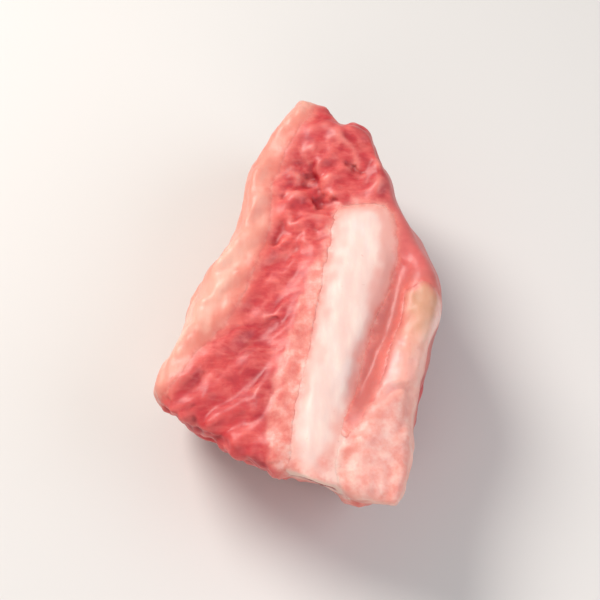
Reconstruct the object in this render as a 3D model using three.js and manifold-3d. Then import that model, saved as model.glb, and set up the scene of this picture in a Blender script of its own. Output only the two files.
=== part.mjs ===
// A chunk of raw bone-in goat meat, chopped for a stew: lean meat round a length of rib, with a
// layer of outer fat down its left side and a lobe of pale inner fat at its front right.
// Millimetres, +Z up. +Y runs from the front cut to the back cut, and the chunk lies on its flat
// underside with the cut side that shows the bone upwards.

import * as THREE from "three";
import { ImprovedNoise } from "three/addons/math/ImprovedNoise.js";
import { mergeVertices } from "three/addons/utils/BufferGeometryUtils.js";
import Module from "manifold-3d";

const { clamp, lerp, smoothstep } = THREE.MathUtils;

// Driving dimensions of the whole chunk
const TOP_HEIGHT = 24; // of the shown side above the table, at the middle
const TOP_SLOPE = 0.1; // the chunk is thicker at its back cut
const LEFT_EDGE = [[-18.1, -15.6], [-13.1, -7], [-9.2, 2], [-5.2, 10], [-4.1, 17], [2.6, 30.3]];
const RIGHT_EDGE = [[15.2, -31.6], [17.9, -16.5], [20.3, -3], [18.8, 5.4], [16, 12.5], [12, 23.8]];
const FRONT_BULGE = 3; // the front cut stands out this far at its middle
const FRONT_UNDERCUT = 12; // and slopes back under the chunk
const BACK_TOE = 4; // the back cut slopes out towards the table
const SIDE_BULGE = 0.8; // of the side walls at half height
const SIDE_TAPER = 3; // the side walls draw in at the table
const BASE_TRIM = 1; // sliced off to make the flat underside
const PLAN_ROUNDING = 16; // sharpness of the corners seen from above
const TOP_ROUNDING = 11; // of the edge round the shown side
const FOOT_ROUNDING = 5; // and of the one at the table

// The rib: a flat oval bone that shows on top. Its rounded end dives into the meat at the back,
// and at the front it is cut off with the rest.
const BONE_LINE = [[4.3, -33], [4.6, -20], [7, -9.4], [9.3, -0.7], [10.8, 6], [11.2, 16]];
const BONE_WIDTH = 10;
const BONE_THICKNESS = 6.4;
const BONE_SQUARENESS = 3; // of the oval: 2 is an ellipse, and more is squarer
const BONE_PROUD = 0.5; // how far it stands above the meat
const BONE_NARROWING = 0.28; // share by which it is narrower at the front
const BONE_DIVE_Y = 9; // from here to the back it goes down
const BONE_DIVE = 0.04;
const BONE_DIP_Y = -21; // and from here to the front
const BONE_DIP = 0.02;
const BONE_END = 14.6; // of the rib, in the meat
const BONE_ROUNDING = 8; // over which its end rounds off
const BONE_OVERRUN = 4; // the tube before it is cut at the front

// The two fats
const OUTER_FAT = 5.2; // thickness of the layer on the left side, at its thickest on top
const OUTER_FAT_ENDS = [0.4, 0.64]; // share of that at the front cut and the back cut
const OUTER_FAT_FOOT = 2.4; // and at the table
const LOBE_EDGE = [
  [5, -33], [6.2, -24], [8, -20], [9.9, -17], [12.2, -12.5], [14.3, -7], [16, -2], [17, 6],
];
const LOBE_DEPTH = 3.6; // of the inner fat beside the groove
const LOBE_SKIRT = 14; // how far it hangs down the right side
const LOBE_BACK = [0.02, 0.29]; // where it ends by the groove and on the right, front -1 to back 1
const LOBE_SLANT = 0.45; // the lower edge of the skirt ends this much further to the front

// Relief of the shown side
const GROOVE_DEPTH = 1.9; // between the bone and the inner fat
const GROOVE_WIDTH = 3.2;
const BAND_DIP = 0.9; // of the red meat between the fat layer and the strip beside the bone
const RIM_RISE = 0.9;
const LOBE_RISE = 0.9;
const SHOULDER_DROP = 3.5; // the meat slopes down to the right behind the inner fat
const BONE_BED = 0.4; // the meat sinks a little beside the bone
const STRIP_RISE = 0.4; // of the pale strip on the left of the bone
const LUMP_RISE = 0.8; // uneven swelling all over
const LUMP_SIZE = 9;
const SWAG_RISE = 4; // and a broader one of the walls below the shown side
const SWAG_SIZE = 15;
const SWAG_RANGE = [-0.4, 1.4]; // the most that it draws a wall in and pushes it out
const FIBRE_RISE = 0.5; // bundles of muscle fibre
const FIBRE_PITCH = 3.6;
const FIBRE_ANGLE = THREE.MathUtils.degToRad(38); // from +X, on the shown side
const PITS = [ // gaps between the bundles: x, y, radius and depth
  [3.4, 15.8, 1.4, 1.6],
  [5.2, 11.8, 1.4, 1.8],
  [9.9, 17.2, 1.2, 1.4],
  [4.5, 7, 0.9, 1],
];
const NOTCH = { x: 8.2, width: 1.2, depth: 1.7 }; // nick in the back edge

// The seam between two muscles, which shows as a furrow round the walls
const SEAM_DEPTH = 1.1;
const SEAM_WIDTH = 0.16; // in half heights of the chunk

const GAP = 0.3; // between neighbouring tissues, so that each is a solid of its own

const noise = new ImprovedNoise();
const bump = (distance, width) => Math.exp(-((distance / width) ** 2));
const plateau = (distance, width) => Math.exp(-((distance / width) ** 4));
const lump = (x, y, z, size) => noise.noise(x / size, y / size, z / size);

const edgeCurve = (points) => new THREE.SplineCurve(points.map(([x, y]) => new THREE.Vector2(x, y)));
const leftEdge = edgeCurve(LEFT_EDGE);
const rightEdge = edgeCurve(RIGHT_EDGE);

// A point of an edge, with t from -1 at the front to 1 at the back, and a straight run-on past both.
function alongEdge(curve, t) {
  const u = (t + 1) / 2;
  const held = clamp(u, 0, 1);
  const point = curve.getPointAt(held);
  return point.addScaledVector(curve.getTangentAt(held), (u - held) * curve.getLength());
}

const topPlane = (y) => TOP_HEIGHT + TOP_SLOPE * y;

// A smooth line through points, as the place across for each place along.
function lineThrough(points) {
  const line = new THREE.CubicInterpolant(points.map(([, y]) => y), points.map(([x]) => x), 1);
  return (y) => line.evaluate(y)[0];
}
const boneX = lineThrough(BONE_LINE);
const lobeX = lineThrough(LOBE_EDGE);

// Half width and half thickness of the bone along it.
function boneHalves(y) {
  const slim = 1 - BONE_NARROWING * smoothstep(-y, -3, 12);
  const intoEnd = clamp((y - BONE_END + BONE_ROUNDING) / BONE_ROUNDING, 0, 1);
  const rounded = Math.sqrt(Math.max(0.06, 1 - intoEnd ** 2));
  return [(BONE_WIDTH / 2) * slim * rounded, (BONE_THICKNESS / 2) * rounded];
}

// Height of the bone's top line, and of its middle.
function boneCrown(y) {
  const dive = BONE_DIVE * Math.max(0, y - BONE_DIVE_Y) ** 2;
  const dip = BONE_DIP * Math.max(0, BONE_DIP_Y - y) ** 2;
  return topPlane(y) + BONE_PROUD - dive - dip;
}
const boneZ = (y) => boneCrown(y) - BONE_THICKNESS / 2;

// Chunk coordinates to millimetres: s runs left to right, t front to back and w table to top,
// each from -1 to 1 inside the chunk.
function place(s, t, w) {
  const left = alongEdge(leftEdge, t);
  const right = alongEdge(rightEdge, t);
  const across = (s + 1) / 2;
  const depth = clamp((1 - w) / 2, 0, 1);
  const toFront = clamp((1 - t) / 2, 0, 1);
  const toBack = clamp((1 + t) / 2, 0, 1);
  const side = clamp(s, -1, 1);
  const x = lerp(left.x, right.x, across)
    + side * (SIDE_BULGE * Math.sin(Math.PI * depth) - SIDE_TAPER * depth ** 2);
  const y = lerp(left.y, right.y, across)
    - FRONT_BULGE * (1 - side ** 2) * toFront ** 2
    + FRONT_UNDERCUT * depth ** 1.3 * toFront
    + BACK_TOE * Math.sin((Math.PI * depth) / 1.6) * toBack;
  const z = lerp(-BASE_TRIM, topPlane(y), (w + 1) / 2);
  return new THREE.Vector3(x, y, z);
}

const widthAt = (t) => alongEdge(leftEdge, t).distanceTo(alongEdge(rightEdge, t));

// Height of the seam inside the chunk, in chunk coordinates.
const seamAt = (s, t) => -0.12 + 0.16 * s - 0.32 * t + 0.1 * Math.sin(3 * t);

// Height of the shown side above its plane; the uneven swelling flattens out beside the bone.
function topRelief(x, y, swell) {
  const fromBone = x - boneX(y);
  const bare = 1 - smoothstep(y, 8, 13); // where the bone shows
  const groove = smoothstep(y, -20.5, -14.5) * (1 - smoothstep(y, 2, 7));
  const lobe = 1 - smoothstep(y, 2, 7);
  const along = x * Math.cos(FIBRE_ANGLE) + y * Math.sin(FIBRE_ANGLE);
  const acrossFibre = -x * Math.sin(FIBRE_ANGLE) + y * Math.cos(FIBRE_ANGLE);
  const wobble = 1.6 * noise.noise(x / 7, y / 7, 3);
  const fibres = Math.sin((2 * Math.PI * (acrossFibre + wobble)) / FIBRE_PITCH)
    * (0.6 + 0.8 * noise.noise(along / 6, acrossFibre / 3, 8));
  const meat = smoothstep(-fromBone, 7, 9);
  const besideBone = bare * plateau(fromBone, 5);
  let rise = 0.8 * swell * (1 - 0.85 * besideBone) - BONE_BED * besideBone;
  rise += STRIP_RISE * bump(fromBone + 5, 2) * (1 - smoothstep(y, 6, 12));
  rise -= BAND_DIP * bump(fromBone + 12, 4.5) * (1 - 0.5 * smoothstep(y, 8, 20));
  rise -= GROOVE_DEPTH * groove * bump(x - lobeX(y) + 1.2, GROOVE_WIDTH / 2);
  rise += LOBE_RISE * lobe * bump(x - lobeX(y) - 4, 3);
  rise -= SHOULDER_DROP * smoothstep(fromBone, 4, 12) * smoothstep(y, 0, 9);
  rise += FIBRE_RISE * fibres * meat;
  for (const [px, py, radius, depth] of PITS) {
    rise -= depth * bump(Math.hypot(x - px, y - py), radius);
  }
  return rise;
}

// A box in chunk coordinates, with its rows closer together towards the edges.
function chunkBox(columns, rows, layers) {
  const box = new THREE.BoxGeometry(2, 2, 2, columns, rows, layers);
  const spot = box.attributes.position;
  const crowd = (v) => 0.55 * v + 0.45 * Math.sin((v * Math.PI) / 2);
  for (let i = 0; i < spot.count; i++) {
    spot.setXYZ(i, crowd(spot.getX(i)), crowd(spot.getY(i)), crowd(spot.getZ(i)));
  }
  return box;
}

// Moves every vertex of a geometry by a function of its three coordinates.
function mapped(geometry, move) {
  const spot = geometry.attributes.position;
  for (let i = 0; i < spot.count; i++) {
    const p = move(spot.getX(i), spot.getY(i), spot.getZ(i));
    spot.setXYZ(i, p.x, p.y, p.z);
  }
  return geometry;
}

const wasm = await Module();
wasm.setup();

function solidOf(geometry) {
  const bare = geometry.clone();
  bare.deleteAttribute("normal");
  bare.deleteAttribute("uv");
  const merged = mergeVertices(bare, 1e-4);
  return new wasm.Manifold(new wasm.Mesh({
    numProp: 3,
    vertProperties: new Float32Array(merged.attributes.position.array),
    triVerts: new Uint32Array(merged.index.array),
  }));
}

// How far a point of a square is drawn in to round its corners: the higher the power, the sharper.
function shrink(a, b, power) {
  return Math.max(a, b) / Math.max(1e-6, (a ** power + b ** power) ** (1 / power));
}

// Draws columns together beside the bone, where the groove and the inner fat need a finer net.
function gather(s) {
  const [middle, reach, pull] = [0.6, 0.6, 0.09];
  const share = smoothstep(s, -0.5, 0) * smoothstep(1 - s, 0, 0.2);
  return s - pull * share * Math.sin((Math.PI * (s - middle)) / reach);
}

// The whole chunk, before its tissues are parted.
function wholeChunk() {
  const shaped = mapped(chunkBox(30, 38, 14), (column, t, w) => {
    const s = gather(column);
    const plan = shrink(Math.abs(s), Math.abs(t), PLAN_ROUNDING);
    const edge = Math.max(Math.abs(s), Math.abs(t));
    const rounding = lerp(FOOT_ROUNDING, TOP_ROUNDING, smoothstep(w, -0.9, 0.3));
    const fall = shrink(edge, Math.abs(w), rounding);
    const [rs, rt, rw] = [s * plan * fall, t * plan * fall, w * fall];
    const p = place(rs, rt, rw);
    const out = new THREE.Vector3(rs ** 7, rt ** 7, 0);
    if (out.length() > 1e-3) out.normalize();
    const wall = Math.min(1, Math.hypot(rs ** 9, rt ** 9));
    const small = 0.5 * lump(p.x, p.y, p.z + 40, LUMP_SIZE / 2);
    const swell = LUMP_RISE * lump(p.x, p.y, p.z, LUMP_SIZE) + small;
    const ragged = 0.9 * Math.abs(rt) ** 9 * lump(p.x, 5, p.z, 3);
    const swing = clamp(SWAG_RISE * lump(p.x, p.y + 90, p.z, SWAG_SIZE), ...SWAG_RANGE);
    const swag = swing * (1 - 0.8 * smoothstep(rw, 0.2, 0.9));
    const seam = SEAM_DEPTH * bump(rw - seamAt(rs, rt), SEAM_WIDTH);
    p.addScaledVector(out, wall * (swell + ragged + swag - seam));
    const top = smoothstep(rw, 0.55, 0.95);
    const rim = RIM_RISE * bump(rs + 1, 0.14) * bump(rt - 0.1, 0.7);
    p.z += top * (topRelief(p.x, p.y, swell) + rim);
    const behind = smoothstep(rt, 0.8, 0.95) * smoothstep(rw, 0.1, 0.6);
    p.y -= NOTCH.depth * behind * bump(p.x - NOTCH.x, NOTCH.width);
    return p;
  });
  return solidOf(shaped);
}

// Everything to the left of the outer fat's inner face, drawn in by the gap where margin says.
function outerFatSide(margin) {
  return solidOf(mapped(chunkBox(2, 24, 10), (a, b, c) => {
    const [t, w] = [b * 1.3, c * 1.5];
    const depth = clamp((1 - w) / 2, 0, 1);
    const ends = lerp(lerp(...OUTER_FAT_ENDS, (t + 1) / 2), 1, bump(t + 0.25, 0.42));
    const wave = 0.5 * noise.noise(t * 3, w * 1.5, 6);
    const thick = lerp(OUTER_FAT, OUTER_FAT_FOOT, depth) * ends + wave + margin;
    const inner = -1 + (2 * thick) / widthAt(t);
    return place(lerp(-1.5, inner, (a + 1) / 2), t, w);
  }));
}

// The room of the inner fat at the front right, from the groove over the right side.
function innerFatSide(margin) {
  return solidOf(mapped(chunkBox(10, 22, 8), (a, b, c) => {
    const out = (a + 1) / 2;
    const slant = LOBE_SLANT * out * ((1 - c) / 2) ** 1.5;
    const back = lerp(...LOBE_BACK, out) + 0.05 * Math.sin(out * 7) - slant + margin / 25;
    const t = lerp(-1.35, back, (b + 1) / 2);
    const near = place(0, t, 1);
    const border = lobeX(near.y) + 0.3 * Math.sin(near.y / 3) - margin;
    const left = alongEdge(leftEdge, t).x;
    const inner = (2 * (border - left)) / (alongEdge(rightEdge, t).x - left) - 1;
    const hang = 0.75 + 0.35 * noise.noise(t * 3.5, 2, 4);
    const depth = lerp(LOBE_DEPTH, LOBE_SKIRT * hang, smoothstep(out, 0.25, 0.75)) + margin;
    const low = 1 - (2 * depth) / (TOP_HEIGHT + BASE_TRIM);
    return place(lerp(inner, 1.5, out), t, lerp(low, 1.6, (c + 1) / 2));
  }));
}

// A slab of chunk coordinates that ends just inside the two cuts.
function betweenCuts() {
  const [front, back, spread] = [-0.965, 0.985, 1.6];
  const slab = mapped(chunkBox(10, 2, 12), (a, b, c) => {
    return place(a * spread, lerp(front, back, (b + 1) / 2), c * spread);
  });
  return solidOf(slab);
}

// Reach of a flattened oval in a direction, as a share of its half axes.
function ovalReach(angle) {
  const [across, up] = [Math.abs(Math.cos(angle)), Math.abs(Math.sin(angle))];
  return (across ** BONE_SQUARENESS + up ** BONE_SQUARENESS) ** (-1 / BONE_SQUARENESS);
}

// The rib, as an oval tube along its own line.
function boneTube(margin) {
  const front = place(0, -1, 1).y - BONE_OVERRUN;
  const tube = new THREE.CylinderGeometry(1, 1, 1, 26, 30);
  return solidOf(mapped(tube, (u, v, n) => {
    const y = lerp(front, BONE_END + margin, v + 0.5);
    const angle = Math.atan2(n, u);
    const reach = Math.hypot(u, n) * ovalReach(angle);
    const [halfWidth, halfThickness] = boneHalves(y);
    return new THREE.Vector3(
      boneX(y) + reach * Math.cos(angle) * (halfWidth + margin),
      y,
      boneZ(y) + reach * Math.sin(angle) * (halfThickness + margin),
    );
  }));
}

// The largest of a solid's bodies, without the scraps that a cut leaves.
function mainBody(solid) {
  const bodies = solid.decompose();
  return bodies.reduce((a, b) => (a.volume() > b.volume() ? a : b));
}

// The room above the table: what is under it is sliced off.
function aboveTable() {
  const room = new THREE.BoxGeometry(200, 200, 200);
  room.translate(0, 0, 100);
  return solidOf(room);
}

const chunk = wholeChunk().intersect(aboveTable());
const bone = boneTube(0).intersect(betweenCuts());
const boneBed = boneTube(GAP);
const outerFat = chunk.intersect(outerFatSide(0)).subtract(boneBed);
const innerFat = chunk.intersect(innerFatSide(0)).subtract(boneBed);
const lean = chunk.subtract(outerFatSide(GAP)).subtract(innerFatSide(GAP)).subtract(boneBed);

// Tissues with the colour and gloss of each
const tissues = {
  lean_meat: { solid: lean, color: 0xc93a44, roughness: 0.35 },
  rib_bone: { solid: bone, color: 0xf5e3d2, roughness: 0.4 },
  outer_fat: { solid: outerFat, color: 0xf7cdb2, roughness: 0.4 },
  inner_fat: { solid: innerFat, color: 0xf4bdae, roughness: 0.35 },
};

function meshOf(name, { solid, color, roughness }) {
  const { numProp, vertProperties, triVerts } = mainBody(solid).getMesh();
  const spots = new Float32Array((vertProperties.length / numProp) * 3);
  for (let i = 0; i < spots.length / 3; i++) {
    spots.set(vertProperties.subarray(i * numProp, i * numProp + 3), i * 3);
  }
  const geometry = new THREE.BufferGeometry();
  geometry.setAttribute("position", new THREE.BufferAttribute(spots, 3));
  geometry.setIndex(new THREE.BufferAttribute(triVerts, 1));
  geometry.computeVertexNormals();
  const material = new THREE.MeshStandardMaterial({ color, roughness, metalness: 0 });
  const mesh = new THREE.Mesh(geometry, material);
  mesh.name = name;
  return mesh;
}

const goatMeat = new THREE.Group();
for (const [name, tissue] of Object.entries(tissues)) goatMeat.add(meshOf(name, tissue));

// The origin is under the middle of the chunk's box, on the table.
const box = new THREE.Box3().setFromObject(goatMeat, true);
const middle = box.getCenter(new THREE.Vector3());
goatMeat.position.set(-middle.x, -middle.y, -box.min.z);

export default goatMeat;
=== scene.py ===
import math

import bmesh
import bpy
import numpy as np
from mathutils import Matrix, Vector, noise
from mathutils.bvhtree import BVHTree
from mathutils.kdtree import KDTree


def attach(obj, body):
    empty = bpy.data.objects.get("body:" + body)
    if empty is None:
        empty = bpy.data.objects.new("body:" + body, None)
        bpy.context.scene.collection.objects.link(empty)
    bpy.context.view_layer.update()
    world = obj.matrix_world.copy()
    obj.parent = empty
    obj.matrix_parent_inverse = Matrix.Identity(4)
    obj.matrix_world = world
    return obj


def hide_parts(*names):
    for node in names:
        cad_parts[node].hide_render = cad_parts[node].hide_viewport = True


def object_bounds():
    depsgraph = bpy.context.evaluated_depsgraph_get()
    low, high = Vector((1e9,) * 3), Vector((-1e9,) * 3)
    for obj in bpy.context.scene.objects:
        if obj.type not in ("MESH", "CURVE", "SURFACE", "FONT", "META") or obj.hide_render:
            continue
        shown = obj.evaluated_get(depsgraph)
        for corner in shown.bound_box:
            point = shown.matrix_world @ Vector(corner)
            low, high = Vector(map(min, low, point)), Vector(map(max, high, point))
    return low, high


# A chunk of raw goat meat with a length of rib in it, lying on its flat underside.
# One skin is laid round the whole chunk and gets the relief of the muscle, fat and bone.
# Then each of the four tissues, a copy of its solid on a fine net, takes on the skin's shape.

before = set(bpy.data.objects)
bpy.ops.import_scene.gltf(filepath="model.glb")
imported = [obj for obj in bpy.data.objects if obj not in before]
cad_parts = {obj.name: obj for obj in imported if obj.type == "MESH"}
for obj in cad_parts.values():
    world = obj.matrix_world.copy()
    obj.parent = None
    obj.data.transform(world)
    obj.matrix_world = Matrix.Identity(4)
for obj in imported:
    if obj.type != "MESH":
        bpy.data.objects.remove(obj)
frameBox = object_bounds()
mm = 0.001
noise.seed_set(5)  # or else the clock sets it, and warped() bends the patterns anew in each run
lowCorner, highCorner = [Vector(corner) for corner in frameBox]
print("frame: %.1f x %.1f x %.1f mm" % tuple((highCorner - lowCorner) / mm))


def linear(hexColour):
    # sRGB hex to the linear colour that a shader reads
    parts = [int(hexColour[i:i + 2], 16) / 255 for i in (0, 2, 4)]
    bright = [c / 12.92 if c <= 0.04045 else ((c + 0.055) / 1.055) ** 2.4 for c in parts]
    return (*bright, 1.0)


def smooth(values, low, high):
    # 0 at low, 1 at high, eased between
    share = np.clip((values - low) / (high - low), 0, 1)
    return share * share * (3 - 2 * share)


def noiseAt(points, sizeMm, seed=0.0):
    # smooth noise from about -1 to 1 at each point; sizeMm is one size or one for each axis
    scaled = points / (np.array(sizeMm) * mm) + seed
    return np.array([noise.noise(p) for p in scaled]) * 1.4


def lumpsAt(points, sizeMm, seed=0.0):
    # rounded lumps from 0 to about 1 with narrow creases between them
    return np.sqrt(noiseAt(points, sizeMm, seed) ** 2 + 0.01) - 0.1


def warped(points, sizeMm, byMm, seed=0.0):
    # the points moved about, so that a pattern on them doesn't run straight
    scaled = points / (sizeMm * mm) + seed
    return points + np.array([noise.noise_vector(p) for p in scaled]) * byMm * mm


def mergedSolid(nodeName):
    # a frame solid with its loose triangles joined
    solid = bmesh.new()
    solid.from_mesh(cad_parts[nodeName].data)
    bmesh.ops.remove_doubles(solid, verts=solid.verts, dist=0.001 * mm)
    solid.normal_update()
    return solid


def onNet(solid, name, netMm):
    # a new piece with the solid's shape on a fine even net
    mesh = bpy.data.meshes.new(name)
    solid.to_mesh(mesh)
    solid.free()
    piece = bpy.data.objects.new(name, mesh)
    bpy.context.scene.collection.objects.link(piece)
    remesh = piece.modifiers.new("net", "REMESH")
    remesh.mode = "VOXEL"
    remesh.voxel_size = netMm * mm
    graph = bpy.context.evaluated_depsgraph_get()
    piece.data = bpy.data.meshes.new_from_object(piece.evaluated_get(graph))
    piece.modifiers.clear()
    piece.data.name = name
    return piece


def relaxed(piece, rounds, keep=False):
    # the vertex places after smoothing; the piece takes them too where keep says so
    surface = bmesh.new()
    surface.from_mesh(piece.data)
    for _ in range(rounds):
        bmesh.ops.smooth_vert(surface, verts=surface.verts, factor=0.5,
                              use_axis_x=True, use_axis_y=True, use_axis_z=True)
    places = np.array([v.co[:] for v in surface.verts])
    if keep:
        surface.to_mesh(piece.data)
    surface.free()
    return places


def surfaceOf(piece):
    # vertex places and the ways they face, as arrays
    count = len(piece.data.vertices)
    places = np.empty(count * 3)
    piece.data.vertices.foreach_get("co", places)
    facing = np.empty(count * 3)
    piece.data.vertex_normals.foreach_get("vector", facing)
    return places.reshape(-1, 3), facing.reshape(-1, 3)


def reshape(piece, places):
    # puts the vertices back, none of them under the table
    places[:, 2] = np.maximum(places[:, 2], 0)
    piece.data.vertices.foreach_set("co", places.ravel())
    piece.data.update()


def hollowsOf(piece, rounds):
    # mm by which each vertex lies under its smoothed surroundings: creases are positive
    places, facing = surfaceOf(piece)
    return ((relaxed(piece, rounds) - places) * facing).sum(axis=1) / mm


def distanceTo(nodeName, points, reachMm=8.0):
    # mm from each point to a frame solid
    solid = mergedSolid(nodeName)
    tree = BVHTree.FromBMesh(solid)
    solid.free()
    gaps = [tree.find_nearest(p, reachMm * mm)[3] for p in points]
    return np.array([reachMm if gap is None else gap / mm for gap in gaps])


def paint(piece, name, values):
    # stores a number for each vertex, which a material reads by its name
    layer = piece.data.attributes.new(name, "FLOAT", "POINT")
    layer.data.foreach_set("value", np.asarray(values, np.float32))


def addNode(tree, kind, values=None, links=None, **settings):
    # one shader node with its settings, its numbers and what feeds it
    node = tree.nodes.new("ShaderNode" + kind)
    for name, value in settings.items():
        setattr(node, name, value)
    for name, value in (values or {}).items():
        node.inputs[name].default_value = value
    for name, source in (links or {}).items():
        tree.links.new(source, node.inputs[name])
    return node


def newMaterial(name):
    material = bpy.data.materials.new(name)
    material.use_nodes = True
    material.node_tree.nodes.clear()
    return material, material.node_tree


def tinted(tree, colour, amount, tint, share):
    # lays a tint, a hex colour or another node's, over a colour where the amount is high
    part = addNode(tree, "Math", {1: share}, {0: amount}, operation="MULTIPLY")
    blend = addNode(tree, "Mix", links={"Factor": part.outputs[0], 6: colour}, data_type="RGBA")
    if isinstance(tint, str):
        blend.inputs[7].default_value = linear(tint)
    else:
        tree.links.new(tint, blend.inputs[7])
    return blend.outputs[2]


def ramp(tree, source, stops):
    # a colour for each height of a pattern; stops are (height, hex colour)
    node = addNode(tree, "ValToRGB", links={"Fac": source})
    marks = node.color_ramp.elements
    while len(marks) < len(stops):
        marks.new(0.5)
    for mark, (height, hexColour) in zip(marks, stops):
        mark.position = height
        mark.color = linear(hexColour)
    return node.outputs["Color"]


def finish(piece, material, nodeName):
    # dresses a piece and hands it to the frame in place of its solid
    piece.data.materials.clear()
    piece.data.materials.append(material)
    for face in piece.data.polygons:
        face.use_smooth = True
    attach(piece, "root")
    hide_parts(nodeName)
    print("piece:", piece.name, len(piece.data.polygons), "faces")


# The skin round the whole chunk, and what is where on it

skin = {
    "net": 0.3,  # mm between the vertices
    "join": 0.25,  # mm that the tissues swell while they fuse, which shuts the gaps between them
    "rounds": 5,  # of smoothing
    "softRounds": 60,  # of the smoothing that takes the steps out of the borders
    "softBone": (0.9, 2.2),  # how much of it the bone's border takes, and how many mm to each side
    "softLean": (0.6, 1.2),  # the same for the other borders of the lean meat
    "creaseRounds": 8,  # of the smoothing that fine creases are measured from
    "swell": 0.25,  # mm, uneven all over
    "swellSize": 4.0,
    "seam": 0.6,  # mm to each side of a border that takes the film's colour
    "ragged": 0.3,  # mm by which the borders wander
    "lip": 0.8,  # mm that each tissue grows sideways, so that two neighbours overlap at their border
    "dive": 0.035,  # mm by which it sinks under its neighbour there, and stands over it before
}

tissues = ("lean_meat", "rib_bone", "outer_fat", "inner_fat")
together = bmesh.new()
for nodeName in tissues:
    solid = mergedSolid(nodeName)
    for v in solid.verts:
        v.co += v.normal * skin["join"] * mm
    grown = bpy.data.meshes.new("grown")
    solid.to_mesh(grown)
    solid.free()
    together.from_mesh(grown)
    bpy.data.meshes.remove(grown)
wholeSkin = onNet(together, "wholeSkin", skin["net"])
relaxed(wholeSkin, skin["rounds"], keep=True)
places, facing = surfaceOf(wholeSkin)
reshape(wholeSkin, places - facing * skin["join"] * mm)

places, facing = surfaceOf(wholeSkin)
surface = bmesh.new()
surface.from_mesh(wholeSkin.data)
skinTree = BVHTree.FromBMesh(surface)
surface.free()
skinSpots = KDTree(len(places))
for i, p in enumerate(places):
    skinSpots.insert(p, i)
skinSpots.balance()
print("skin:", len(places), "vertices")

toTissue = np.array([distanceTo(nodeName, places) for nodeName in tissues])
toLean, toBone, toOuter, toInner = toTissue
uneven = toTissue + skin["ragged"] * np.array([noiseAt(places, 1.6, seed) for seed in (31, 42, 53, 64)])
inTissue = np.array([np.delete(uneven, i, 0).min(axis=0) - own for i, own in enumerate(uneven)])
inLean, inBone, inOuter, inInner = inTissue  # mm from the border, below 0 outside
print("skin: distances measured")

boneSpots = np.array([v.co[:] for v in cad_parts["rib_bone"].data.vertices])
boneFront, boneBack = boneSpots[:, 1].min(), boneSpots[:, 1].max()
boneLine = np.polyfit(boneSpots[:, 1], boneSpots[:, 0], 3)  # its middle seen from above
right = (places[:, 0] - np.polyval(boneLine, np.clip(places[:, 1], boneFront, boneBack))) / mm
behind = (places[:, 1] - boneFront) / mm
height = places[:, 2] / mm
fibreTurn = math.radians(38)  # the fibres run this way across the shown side, from +X
frontCut = np.array([-0.4, -0.92, 0])  # the way that the front cut faces

wander = noiseAt(places, 1.4, 3) * 0.6 + noiseAt(places, 3.5, 8) * 0.9  # makes a border ragged
upwards = smooth(facing[:, 2], 0.3, 0.7)
topside = upwards * smooth(height, 13, 17)
frontEdge = smooth(facing @ frontCut, 0.1, 0.5) * smooth(height, 10, 15)
push = skin["swell"] * noiseAt(places, skin["swellSize"], 5) * (1 - 0.6 * smooth(inBone, -0.5, 0.5))
boneShare, boneReach = skin["softBone"]
leanShare, leanReach = skin["softLean"]
soften = np.maximum(boneShare * np.exp(-((inBone / boneReach) ** 2)),
                    leanShare * np.exp(-((inLean / leanReach) ** 2)))


# Lean meat

lean = {
    "net": 0.28,  # mm between the vertices
    "bundle": (8.0, 3.2, 3.2),  # mm along and across the muscle bundles
    "bundleRise": 0.55,  # mm
    "strand": (4.5, 1.3, 1.3),
    "strandRise": 0.1,
    "lump": 2.2,  # mm, in the torn meat behind the bone
    "lumpRise": 0.5,
    "pits": ((1.1, 13.8, 1.2), (2.9, 9.8, 1.4), (7.6, 15.2, 1.3)),  # gaps in it: x, y and radius in mm
    "pitDepth": 0.45,  # mm
    "shred": 0.6,  # mm, the torn bits along the front edge
    "strip": 6.4,  # mm from the bone's middle to the far side of the pale strip on its left
    "stripEnd": 34,  # mm behind the bone's front end
    "stripGrain": (1.3, 3.0, 1.3),  # mm
    "stripRise": 0.2,
    "tornStart": 32,  # mm behind it, where the cut muscle turns into torn lumps
}

turned = places.copy()
turned[:, 0] = places[:, 0] * math.cos(fibreTurn) + places[:, 1] * math.sin(fibreTurn)
turned[:, 1] = places[:, 1] * math.cos(fibreTurn) - places[:, 0] * math.sin(fibreTurn)
turned = warped(turned, 6, 1.5, 11)
calm = smooth(right, 2.5, 4.5) * smooth(behind, 4, 8) * smooth(height, 13, 18)
torn = topside * smooth(behind, lean["tornStart"] - 2, lean["tornStart"] + 3) * (1 - calm)
leftOfBone = 0.6 * wander - right
strip = topside * smooth(leftOfBone, 1, 3)
strip *= 1 - smooth(leftOfBone, lean["strip"] - 0.6, lean["strip"] + 0.8)
strip *= 1 - smooth(behind + wander, lean["stripEnd"] - 4, lean["stripEnd"] + 1)
fringe = (1 - smooth(behind + 1.5 * wander, 1.0, 4.5)) * smooth(right + wander, -6.5, -4.5)
fringe *= smooth(height, 13, 16)
pale = np.maximum(strip, 0.85 * fringe)
cut = np.maximum(upwards, smooth(np.abs(facing @ frontCut), 0.5, 0.8))
rough = (0.5 + 0.5 * cut) * (1 - 0.9 * calm) * (1 - 0.6 * pale) * smooth(inLean, 0.0, 1.6)
bundles = lumpsAt(turned, lean["bundle"])
strands = lumpsAt(turned, lean["strand"], 40)
lumps = 0.7 * noiseAt(places, lean["lump"], 70) - lumpsAt(warped(places, 4, 1.0), 1.6 * lean["lump"], 75)
push += lean["bundleRise"] * (bundles - 0.3) * rough * (1 - 0.7 * torn)
push += lean["strandRise"] * (strands - 0.3) * rough
push += lean["lumpRise"] * (lumps + 0.3) * rough * torn
push += lean["stripRise"] * pale * noiseAt(places, lean["stripGrain"], 61)
bent = warped(warped(places, 3.5, 2.4, 80), 1.2, 0.9, 82)[:, :2] / mm
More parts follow.
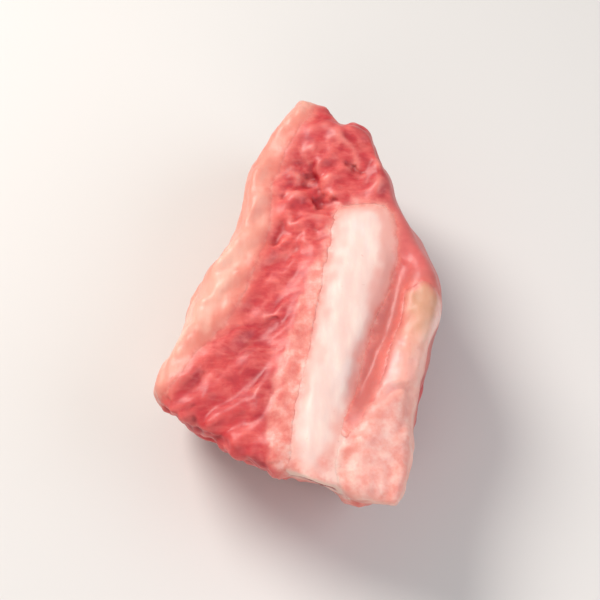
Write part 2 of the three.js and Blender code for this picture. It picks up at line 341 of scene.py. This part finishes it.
pits = sum(np.exp(-((np.hypot(*(bent - (x, y)).T) / radius) ** 2)) for x, y, radius in lean["pits"])
pits *= topside * smooth(inLean, 0.2, 1.2) * (0.75 + 0.5 * noiseAt(places, 1.1, 84))
push -= lean["pitDepth"] * pits
shreds = noiseAt(places, (3.2, 3.2, 4.0), 21) + 0.6 * noiseAt(places, 1.2, 23)
shreds *= lean["shred"] * frontEdge * smooth(inLean, 0.2, 1.2)


def membrane(tree, spot):
    # the thin film by the bone and where two tissues meet: flesh pink by muscle, mottled cream by bone
    tone = addNode(tree, "Attribute", attribute_name="tone").outputs["Fac"]
    mottle = addNode(tree, "TexNoise", {"Scale": 1 / (1.5 * mm), "Detail": 4.0, "Roughness": 0.6},
                     {"Vector": spot}).outputs["Fac"]
    spread = addNode(tree, "MapRange", {"From Min": 0.3, "From Max": 0.7}, {"Value": mottle}).outputs[0]
    mixed = addNode(tree, "Mix", {"Factor": 0.45}, {2: tone, 3: spread}).outputs[0]
    return ramp(tree, mixed, [(0.2, "dc6c62"), (0.5, "eb978a"), (0.8, "f5c9bc")])


def leanMaterial():
    # raw muscle: mottled red, wet all over, with pale ridges, partly pale tissue and partly painted
    # highlight, and painted shade of dark red in the creases and pits
    material, tree = newMaterial("rawMuscle")
    spot = addNode(tree, "TexCoord").outputs["Object"]
    fibreSpot = addNode(tree, "Mapping", {"Rotation": (0, 0, -fibreTurn), "Scale": (0.3, 1, 1)},
                        {"Vector": spot}).outputs["Vector"]
    patches = addNode(tree, "TexNoise", {"Scale": 1 / (7 * mm), "Detail": 3.0},
                      {"Vector": spot}).outputs["Fac"]
    mottle = addNode(tree, "TexNoise", {"Scale": 1 / (2.4 * mm), "Detail": 3.0, "Distortion": 0.4},
                     {"Vector": spot}).outputs["Fac"]
    fibres = addNode(tree, "TexNoise", {"Scale": 1 / (0.9 * mm), "Detail": 4.0, "Roughness": 0.55},
                     {"Vector": fibreSpot}).outputs["Fac"]
    colour = ramp(tree, patches, [(0.36, "ae2933"), (0.5, "ca3c41"), (0.64, "e0544e")])
    blotch = ramp(tree, mottle, [(0.34, "961c2c"), (0.5, "c83e43"), (0.66, "f58c80")])
    strand = ramp(tree, fibres, [(0.34, "ae303a"), (0.5, "cf494c"), (0.66, "ee857b")])
    colour = addNode(tree, "Mix", {"Factor": 0.45}, {6: colour, 7: blotch}, data_type="RGBA").outputs[2]
    colour = addNode(tree, "Mix", {"Factor": 0.3}, {6: colour, 7: strand}, data_type="RGBA").outputs[2]
    hollow = addNode(tree, "Attribute", attribute_name="hollow").outputs["Fac"]
    # ridges get a painted highlight, partly pale fat streaks, and creases a painted shade of dark red
    paleRidgeAndHighlight = addNode(tree, "MapRange", {"From Min": 0.02, "From Max": -0.15}, {"Value": hollow}).outputs[0]
    crease = addNode(tree, "MapRange", {"From Min": 0.02, "From Max": 0.18}, {"Value": hollow}).outputs[0]
    colour = tinted(tree, colour, paleRidgeAndHighlight, "f38d82", 0.35)
    colour = tinted(tree, colour, crease, "8e1424", 0.7)
    film = membrane(tree, spot)
    # in these, the pits and the hollows of the torn meat get painted shade, as does the groove beside the
    # bone, and the tops of the torn lumps get lighter, partly pale tissue and partly painted highlight
    for layer, tint, share in (("deep", "cc3036", 0.45), ("tornPaleAndHighlight", "f3988c", 0.5), ("pitShade", "96121f", 0.85),
                               ("uncut", "c8484c", 0.3), ("calm", "d96e6a", 0.7), ("grooveShade", "bd6a62", 0.7),
                               ("besideFat", "e4766a", 0.6), ("pale", film, 0.9), ("seam", film, 0.9)):
        amount = addNode(tree, "Attribute", attribute_name=layer).outputs["Fac"]
        colour = tinted(tree, colour, amount, tint, share)
    pitShade = addNode(tree, "Attribute", attribute_name="pitShade").outputs["Fac"]
    coat = addNode(tree, "MapRange", {"To Min": 0.2, "To Max": 0.0}, {"Value": pitShade}).outputs[0]
    gloss = addNode(tree, "MapRange", {"To Min": 0.4, "To Max": 0.6}, {"Value": patches}).outputs[0]
    bump = addNode(tree, "Bump", {"Strength": 0.4, "Distance": 0.12 * mm}, {"Height": fibres}).outputs[0]
    wet = addNode(tree, "BsdfPrincipled",
                  {"IOR": 1.4, "Subsurface Weight": 0.35, "Subsurface Radius": (1.0, 0.3, 0.2),
                   "Subsurface Scale": 1.2 * mm, "Coat Roughness": 0.28},
                  {"Base Color": colour, "Roughness": gloss, "Coat Weight": coat, "Normal": bump})
    addNode(tree, "OutputMaterial", links={"Surface": wet.outputs[0]})
    return material


# Rib bone

bone = {
    "net": 0.3,
    "wall": 0.68,  # the compact rim at the front cut starts at this share of the half width
    "poreSize": 0.9,  # mm, in the spongy middle that shows there
    "poreDepth": 0.3,
    "cutDepth": (2, 4),  # mm behind its front end, over which the colours of the cut end
    "ripple": (2.6, 12, 2.6),  # mm across, along and down
    "rippleRise": 0.1,
    "start": (1.5, 4),  # mm behind its front end, over which the film gives way to bone
    "end": (41, 43.5),  # and where the film covers it again
}

push += bone["rippleRise"] * smooth(inBone, 0, 1.2) * noiseAt(places, bone["ripple"], 2)


def boneMaterial():
    # fresh rib bone: ivory under a thin wet skin, faintly pink and grey in patches, red marrow at the cut
    material, tree = newMaterial("freshBone")
    spot = addNode(tree, "TexCoord").outputs["Object"]
    longSpot = addNode(tree, "Mapping", {"Rotation": (0, 0, math.radians(16)), "Scale": (1, 0.3, 1)},
                       {"Vector": spot}).outputs["Vector"]
    stain = addNode(tree, "TexNoise", {"Scale": 1 / (4.5 * mm), "Detail": 3.0},
                    {"Vector": longSpot}).outputs["Fac"]
    streak = addNode(tree, "TexNoise", {"Scale": 1 / (1.3 * mm), "Detail": 4.0},
                     {"Vector": longSpot}).outputs["Fac"]
    speck = addNode(tree, "TexNoise", {"Scale": 1 / (0.6 * mm), "Detail": 2.0},
                    {"Vector": spot}).outputs["Fac"]
    colour = ramp(tree, streak, [(0.3, "e6c8bf"), (0.5, "eccfc5"), (0.7, "f1dace")])
    pinkish = addNode(tree, "MapRange", {"From Min": 0.5, "From Max": 0.7}, {"Value": stain}).outputs[0]
    greyish = addNode(tree, "MapRange", {"From Min": 0.5, "From Max": 0.32}, {"Value": stain}).outputs[0]
    dots = addNode(tree, "MapRange", {"From Min": 0.7, "From Max": 0.78}, {"Value": speck}).outputs[0]
    colour = tinted(tree, colour, pinkish, "ecb3aa", 0.45)
    colour = tinted(tree, colour, greyish, "ddd3d6", 0.5)
    colour = tinted(tree, colour, dots, "cf7a6e", 0.3)
    film = membrane(tree, spot)
    for layer, tint, share in (("boneSide", "e59c90", 0.75), ("cover", film, 0.85), ("seam", film, 0.9),
                               ("cutRim", "ebc8b8", 0.8), ("marrow", "b04a44", 0.9),
                               ("pore", "6e1a1e", 0.85)):
        amount = addNode(tree, "Attribute", attribute_name=layer).outputs["Fac"]
        colour = tinted(tree, colour, amount, tint, share)
    bump = addNode(tree, "Bump", {"Strength": 0.15, "Distance": 0.1 * mm}, {"Height": streak}).outputs[0]
    wet = addNode(tree, "BsdfPrincipled",
                  {"IOR": 1.5, "Roughness": 0.5, "Subsurface Weight": 0.3,
                   "Subsurface Radius": (1.0, 0.7, 0.5), "Subsurface Scale": 1.4 * mm,
                   "Coat Weight": 0.12, "Coat Roughness": 0.3},
                  {"Base Color": colour, "Normal": bump})
    addNode(tree, "OutputMaterial", links={"Surface": wet.outputs[0]})
    return material


# Outer fat

outer = {
    "net": 0.32,
    "wrinkle": (3.0, 9.0, 1.8),  # mm
    "wrinkleRise": 0.3,
    "grain": 1.3,  # mm
    "grainRise": 0.12,
    "creams": ("dc8676", "e9a896", "f4cbba"),
    "paleRidgeAndHighlight": (1.8, 3.4),  # mm from the meat, over which the pale outer ridge starts, partly cream fat and partly painted highlight
    "ridgeEnd": (33, 37),  # mm behind the bone's front end
    "rosyBack": (31, 37),  # it is pinker from here to the back
    "rosyFront": (6, 20),  # and from here to the front
}

onOuter = smooth(inOuter, 0.2, 1.5)
push += outer["wrinkleRise"] * (lumpsAt(warped(places, 7, 2), outer["wrinkle"], 4) - 0.3) * onOuter
push += outer["grainRise"] * noiseAt(places, outer["grain"], 9) * onOuter


# Inner fat

inner = {
    "net": 0.3,
    "lobule": 3.6,  # mm
    "lobuleRise": 0.4,
    "crease": 0.7,  # mm deep, across the lobe
    "creaseStart": 11.3,  # mm behind the bone's front end
    "creaseSlant": 0.24,
    "creaseWidth": 0.7,
    "grain": 1.3,  # mm
    "grainRise": 0.1,
    "mottled": (9, 14),  # mm behind the bone's front end, over which its mottled front ends
    "tanShade": (17, 24),  # over which its darker tan back starts, a painted shade
    "lobeHighlight": (16, 4),  # where it is palest, a painted highlight across the lobe, and how far from there to each side
    "creams": ("eca194", "f2b8a9", "f6d2c8"),
}

onInner = smooth(inInner, 0.2, 1.5)
fromCrease = behind - inner["creaseStart"] - inner["creaseSlant"] * (right - 5.6)
fromCrease += 0.6 * noiseAt(places, 3, 50)
lobeCrease = np.exp(-((fromCrease / inner["creaseWidth"]) ** 2)) * onInner * topside
push += inner["lobuleRise"] * (lumpsAt(warped(places, 5, 1.5), inner["lobule"], 14) - 0.3) * onInner
push += inner["grainRise"] * noiseAt(places, inner["grain"], 16) * onInner
push -= inner["crease"] * lobeCrease


def fatMaterial(name, creams, rosy, zones):
    # goat fat: waxy and cream, in small lobules, with pink where blood or muscle shows through and painted
    # shade in its creases;
    # a zone is a layer, its tint (none where it is the film's own colour) and its strength
    material, tree = newMaterial(name)
    spot = addNode(tree, "TexCoord").outputs["Object"]
    longSpot = addNode(tree, "Mapping", {"Rotation": (0, 0, math.radians(20)), "Scale": (1, 0.25, 1)},
                       {"Vector": spot}).outputs["Vector"]
    cloud = addNode(tree, "TexNoise", {"Scale": 1 / (5 * mm), "Detail": 4.0, "Roughness": 0.6},
                    {"Vector": longSpot}).outputs["Fac"]
    grain = addNode(tree, "TexNoise", {"Scale": 1 / (0.9 * mm), "Detail": 4.0},
                    {"Vector": spot}).outputs["Fac"]
    lobules = addNode(tree, "TexVoronoi", {"Scale": 1 / (1.7 * mm)}, {"Vector": spot},
                      feature="SMOOTH_F1").outputs["Distance"]
    colour = ramp(tree, cloud, [(0.32, creams[0]), (0.5, creams[1]), (0.68, creams[2])])
    thin = addNode(tree, "MapRange", {"From Min": 0.52, "From Max": 0.75}, {"Value": grain}).outputs[0]
    hollow = addNode(tree, "Attribute", attribute_name="hollow").outputs["Fac"]
    crease = addNode(tree, "MapRange", {"From Min": 0.02, "From Max": 0.2}, {"Value": hollow}).outputs[0]
    colour = tinted(tree, colour, thin, rosy, 0.3)
    # creases painted rosier and darker: painted shade
    colour = tinted(tree, colour, crease, rosy, 0.4)
    film = membrane(tree, spot)
    for layer, tint, share in zones + [("seam", "", 0.9)]:
        amount = addNode(tree, "Attribute", attribute_name=layer).outputs["Fac"]
        colour = tinted(tree, colour, amount, tint or film, share)
    bumps = addNode(tree, "Mix", {"Factor": 0.35}, {2: grain, 3: lobules}).outputs[0]
    bump = addNode(tree, "Bump", {"Strength": 0.3, "Distance": 0.2 * mm}, {"Height": bumps}).outputs[0]
    wet = addNode(tree, "BsdfPrincipled",
                  {"IOR": 1.45, "Roughness": 0.48, "Subsurface Weight": 0.4,
                   "Subsurface Radius": (1.0, 0.55, 0.4), "Subsurface Scale": 1.6 * mm,
                   "Coat Weight": 0.15, "Coat Roughness": 0.28},
                  {"Base Color": colour, "Normal": bump})
    addNode(tree, "OutputMaterial", links={"Surface": wet.outputs[0]})
    return material


# The relief goes on the skin, and each tissue follows it

soften *= smooth(height, 10, 14)
softer = relaxed(wholeSkin, skin["softRounds"]) - places
grounded = smooth(height, 0.2, 2.0)
skinMove = (facing * push[:, None] + frontCut * shreds[:, None]) * grounded[:, None] * mm
skinMove += softer * soften[:, None]
reshape(wholeSkin, places + skinMove)
# hollow feeds the painted shade in creases and the painted highlight on ridges; broadHollow feeds the painted
# shade in the hollows of the torn meat
hollow = hollowsOf(wholeSkin, skin["creaseRounds"]) * smooth(inTissue.max(axis=0), 0.2, 0.8)
broadHollow = hollowsOf(wholeSkin, skin["softRounds"])
# the groove right of the bone is painted darker and browner: painted shade
paintedGrooveShade = calm * smooth(right, 3, 4) * (1 - smooth(behind, 26, 32)) * smooth(inLean, -0.2, 0.6)
nearBone, nearInner = 1 - smooth(toBone, 0.5, 2.0), 1 - smooth(toInner, 0.5, 2.0)
bonePale = nearBone * (0.42 + 0.45 * nearInner - 0.25 * calm * (1 - nearInner))
boneEnd = smooth(behind + 0.8 * np.abs(right) + 1.2 * wander, *bone["end"])  # rounds its back end
boneStart = 1 - smooth(behind + 1.5 * wander, *bone["start"])
frontLobe = (1 - smooth(behind + wander, *inner["mottled"])) * topside * smooth(inInner, -0.5, 0.5)
rosyBack = smooth(behind + wander, *outer["rosyBack"])
rosyFront = 1 - smooth(behind + 2 * wander, *outer["rosyFront"])
# the pale ridge along the fat's outer rim: partly its cream, partly painted highlight
paleRidgeAndHighlight = smooth(toLean + wander, *outer["paleRidgeAndHighlight"]) * (1 - smooth(behind + wander, *outer["ridgeEnd"]))
# a painted highlight, palest across the lobe's middle
palest, palestReach = inner["lobeHighlight"]
lobeHighlight = np.exp(-(((behind - palest) / palestReach) ** 2))
softSide = smooth(right, 1, 3) * smooth(behind, 22, 28)  # it fades into the muscle on the right
layers = {
    "hollow": hollow,
    "seam": np.exp(-((inTissue.max(axis=0) / skin["seam"]) ** 2)),
    "tone": np.clip(0.12 + np.maximum.reduce([bonePale, 0.3 * pale, 0.55 * frontLobe]), 0, 1),
    # painted shade in the pits and in the hollows of the torn meat
    "pitShade": np.maximum(0.8 * smooth(broadHollow, 0.1, 0.6) * torn, smooth(pits, 0.15, 0.9)),
    # the tops of the torn lumps painted lighter: partly pale tissue, partly painted highlight
    "tornPaleAndHighlight": smooth(lumps, -0.1, 0.5) * torn * smooth(inLean, 0.5, 1.5),
    "deep": topside * (1 - smooth(behind + 2 * wander, 6, 16)) * smooth(-right + wander, 7, 11),
    "uncut": 1 - cut,
    "calm": calm,
    "grooveShade": paintedGrooveShade,
    "pale": pale,
    "besideFat": 1 - smooth(np.minimum(toOuter, toInner) + 0.8 * wander, 0.0, 1.8),
    "besideMeat": 1 - smooth(toLean + wander, 0.0, 2.4),
    "boneSide": 1 - smooth(inBone + 0.8 * wander - 1.5 * softSide, 0.3, 2.6),
    "cover": np.maximum(boneEnd, boneStart) * topside,
    "rosy": np.maximum(rosyBack, 0.9 * rosyFront),
    "paleRidgeAndHighlight": paleRidgeAndHighlight * topside,
    # the lobe's back painted darker tan: painted shade
    "tanShade": smooth(behind + 1.5 * wander, *inner["tanShade"]) * topside,
    "lobeHighlight": lobeHighlight * smooth(10 - right - wander, 0, 2.5) * topside,
    "blush": frontLobe,
}
print("skin: shaped")


def nearSkin(points):
    # the nearest spots on the skin before its relief, the ways it faces there, and the mm to them
    found = [skinTree.find_nearest(p) for p in points]
    spots = np.array([spot[:] for spot, _, _, _ in found])
    ways = np.array([way[:] for _, way, _, _ in found])
    return spots, ways, np.array([gap / mm for _, _, _, gap in found])


def tissuePiece(nodeName, pieceName, netMm):
    # a tissue on a fine net that takes on the skin's shape, and its share of the skin's layers
    piece = onNet(mergedSolid(nodeName), pieceName, netMm)
    relaxed(piece, 2, keep=True)
    places, facing = surfaceOf(piece)
    others = bmesh.new()
    for otherName in tissues:
        if otherName != nodeName:
            others.from_mesh(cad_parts[otherName].data)
    othersTree = BVHTree.FromBMesh(others)
    others.free()
    _, outward, depth = nearSkin(places)
    exposed = smooth((facing * outward).sum(axis=1), 0.3, 0.7)
    lip = skin["lip"] * (1 - smooth(depth, 1.0, 2.5)) * smooth(places[:, 2] / mm, 0.2, 1.0)
    for i in np.flatnonzero(lip):
        spot, _, _, gap = othersTree.find_nearest(places[i], 2 * mm)
        if spot is not None:
            share = 1 - smooth(gap / mm, 0.4, 2.0)
            places[i] += (np.array(spot) - places[i]) / gap * share * lip[i] * mm
    spots, outward, depth = nearSkin(places)
    nearest = np.empty((len(places), 4), int)
    weight = np.empty((len(places), 4))
    for i, p in enumerate(spots):
        for j, (_, k, gap) in enumerate(skinSpots.find_n(p, 4)):
            nearest[i, j] = k
            weight[i, j] = 1 / (gap / mm + 0.03)
    weight /= weight.sum(axis=1, keepdims=True)
    move = (skinMove[nearest] * weight[:, :, None]).sum(axis=1)
    inside = (inTissue[tissues.index(nodeName)][nearest] * weight).sum(axis=1)
    lift = skin["dive"] * np.clip(2 * inside / skin["lip"], -1.5, 1)
    onSkin = exposed * (1 - smooth(depth, 0.7, 1.3))
    places += onSkin[:, None] * (spots + outward * lift[:, None] * mm - places)
    places += (1 - smooth(depth, 1.0, 3.0))[:, None] * move
    reshape(piece, places)
    for name, values in layers.items():
        paint(piece, name, (values[nearest] * weight).sum(axis=1))
    return piece


leanMeat = tissuePiece("lean_meat", "leanMeat", lean["net"])
finish(leanMeat, leanMaterial(), "lean_meat")

ribBone = tissuePiece("rib_bone", "ribBone", bone["net"])
places, facing = surfaceOf(ribBone)
atCut = smooth(-facing[:, 1], 0.6, 0.9) * (1 - smooth((places[:, 1] - boneFront) / mm, *bone["cutDepth"]))
face = places[atCut > 0.5]
middle = (face.max(axis=0) + face.min(axis=0)) / 2
half = (face.max(axis=0) - face.min(axis=0)) / 2
fromMiddle = np.hypot((places[:, 0] - middle[0]) / half[0], (places[:, 2] - middle[2]) / half[2])
marrow = atCut * (1 - smooth(fromMiddle, bone["wall"] - 0.06, bone["wall"] + 0.06))
pores = lumpsAt(places, bone["poreSize"], 7)
places -= facing * (bone["poreDepth"] * marrow * (0.4 + pores))[:, None] * mm
reshape(ribBone, places)
paint(ribBone, "marrow", marrow)
paint(ribBone, "pore", marrow * smooth(pores, 0.2, 0.6))
paint(ribBone, "cutRim", atCut * (1 - marrow))
finish(ribBone, boneMaterial(), "rib_bone")

outerFat = tissuePiece("outer_fat", "outerFat", outer["net"])
# the pale ridge is partly the fat's cream and partly painted highlight
outerZones = [("paleRidgeAndHighlight", "f0c6b2", 0.5), ("rosy", "e08c7d", 0.5), ("besideMeat", "e17b6c", 0.75)]
finish(outerFat, fatMaterial("outerFatWax", outer["creams"], "e6897a", outerZones), "outer_fat")

innerFat = tissuePiece("inner_fat", "innerFat", inner["net"])
# the pale band across the lobe's middle is a painted highlight, and the darker tan over its back a painted
# shade
innerZones = [("blush", "", 0.7), ("lobeHighlight", "f4dada", 0.75), ("tanShade", "c9906e", 0.8),
              ("besideMeat", "d9776b", 0.7)]
finish(innerFat, fatMaterial("innerFatFilm", inner["creams"], "df8076", innerZones), "inner_fat")
bpy.data.objects.remove(wholeSkin)


# Table, light and camera

view = {
    "elevation": 60,  # degrees, the camera looks down on the shown side
    "azimuth": 0,
    "lens": 80,  # mm
    "frameHeight": 84,  # mm of the scene that the picture takes in
}

aim = (lowCorner + highCorner) / 2
aim.z = highCorner.z * 0.55
rise, turn = math.radians(view["elevation"]), math.radians(view["azimuth"])
away = Vector((-math.sin(turn) * math.cos(rise), -math.cos(turn) * math.cos(rise), math.sin(rise)))
reach = view["frameHeight"] * mm / 2 / (18 / view["lens"])
camera = bpy.data.objects.new("camera", bpy.data.cameras.new("camera"))
camera.data.lens = view["lens"]
camera.data.sensor_width = 36
camera.data.clip_start = 0.01
camera.location = aim + away * reach
camera.rotation_euler = (-away).to_track_quat("-Z", "Y").to_euler()
bpy.context.scene.collection.objects.link(camera)
bpy.context.scene.camera = camera

studio = {
    "table": 1.5,  # m from its middle to its sides
    "tableColour": "dcd9d6",
    "skyColour": "f2f4f6",
    "sky": 0.3,  # strength
}

floorShape = bmesh.new()
bmesh.ops.create_grid(floorShape, x_segments=1, y_segments=1, size=studio["table"])
floorMesh = bpy.data.meshes.new("table")
floorShape.to_mesh(floorMesh)
floorShape.free()
table = bpy.data.objects.new("table", floorMesh)
bpy.context.scene.collection.objects.link(table)
tablePaint, tree = newMaterial("tablePaint")
plain = addNode(tree, "BsdfPrincipled", {"Base Color": linear(studio["tableColour"]), "Roughness": 0.7})
addNode(tree, "OutputMaterial", links={"Surface": plain.outputs[0]})
floorMesh.materials.append(tablePaint)

lamps = {  # name: place in mm, width in mm, watts, hex colour
    "keyLamp": ((-160, 120, 260), 150, 0.95, "fffaf4"),
    "fillLamp": ((220, -60, 200), 240, 0.32, "f4f7ff"),
    "frontLamp": ((-40, -260, 180), 240, 0.26, "fffdfa"),
}
for name, (place, width, watts, hexColour) in lamps.items():
    lamp = bpy.data.lights.new(name, "AREA")
    lamp.shape = "DISK"
    lamp.size = width * mm
    lamp.energy = watts
    lamp.color = linear(hexColour)[:3]
    holder = bpy.data.objects.new(name, lamp)
    holder.location = Vector(place) * mm
    holder.rotation_euler = (aim - holder.location).to_track_quat("-Z", "Y").to_euler()
    bpy.context.scene.collection.objects.link(holder)

world = bpy.data.worlds.new("studio")
world.use_nodes = True
sky = world.node_tree.nodes["Background"]
sky.inputs["Color"].default_value = linear(studio["skyColour"])
sky.inputs["Strength"].default_value = studio["sky"]
bpy.context.scene.world = world
bpy.context.scene.view_settings.view_transform = "Standard"

print("scene: done")
